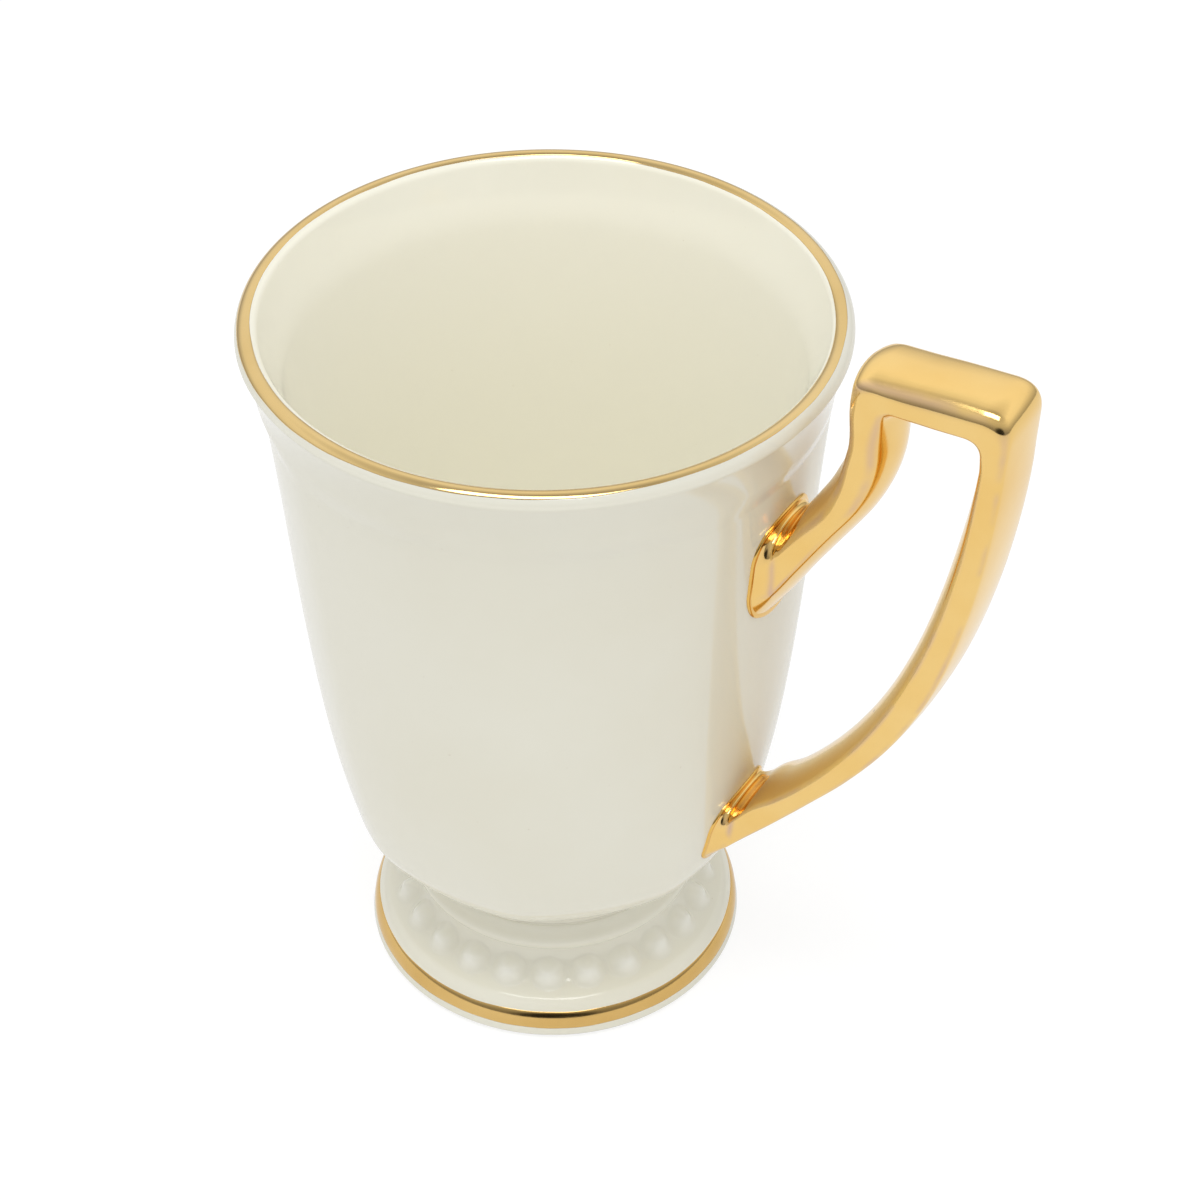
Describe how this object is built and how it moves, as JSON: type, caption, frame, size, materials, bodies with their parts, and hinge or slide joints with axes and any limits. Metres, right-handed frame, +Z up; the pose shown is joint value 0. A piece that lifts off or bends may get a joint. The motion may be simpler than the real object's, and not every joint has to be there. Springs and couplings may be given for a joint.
{
  "type": "tea mug",
  "caption": "Footed porcelain tea mug with softly panelled sides, a round flared lip, a beaded pedestal foot and a gilded strap handle, for hot drinks.",
  "frame": {"origin": "on the table under the middle of the whole outline, between the lip and the outside of the handle", "axes": "+Z up along the mug axis, +X towards the handle, +Y across the handle"},
  "size_m": [0.1168, 0.087, 0.1327],
  "materials": {
    "porcelain": "glossy ivory glaze",
    "bead_porcelain": "glossy ivory glaze",
    "slip": "fired slip under glaze",
    "handle_gold": "polished fired gold over glazed porcelain",
    "joint_gold": "polished fired gold over fired slip",
    "line_gold": "burnished fired gold line"
  },
  "bodies": {
    "root": {"bowl": "porcelain", "pedestal_foot": "porcelain", "foot_joint": "slip", "handle": "handle_gold", "handle_joint_upper": "joint_gold", "handle_joint_lower": "joint_gold", "rim_gilding": "line_gold", "foot_gilding": "line_gold", "bead_01": "bead_porcelain", "bead_02": "bead_porcelain", "bead_03": "bead_porcelain", "bead_04": "bead_porcelain", "bead_05": "bead_porcelain", "bead_06": "bead_porcelain", "bead_07": "bead_porcelain", "bead_08": "bead_porcelain", "bead_09": "bead_porcelain", "bead_10": "bead_porcelain", "bead_11": "bead_porcelain", "bead_12": "bead_porcelain", "bead_13": "bead_porcelain", "bead_14": "bead_porcelain", "bead_15": "bead_porcelain", "bead_16": "bead_porcelain", "bead_17": "bead_porcelain", "bead_18": "bead_porcelain", "bead_19": "bead_porcelain", "bead_20": "bead_porcelain", "bead_21": "bead_porcelain", "bead_22": "bead_porcelain", "bead_23": "bead_porcelain", "bead_24": "bead_porcelain"}
  },
  "joints": []
}
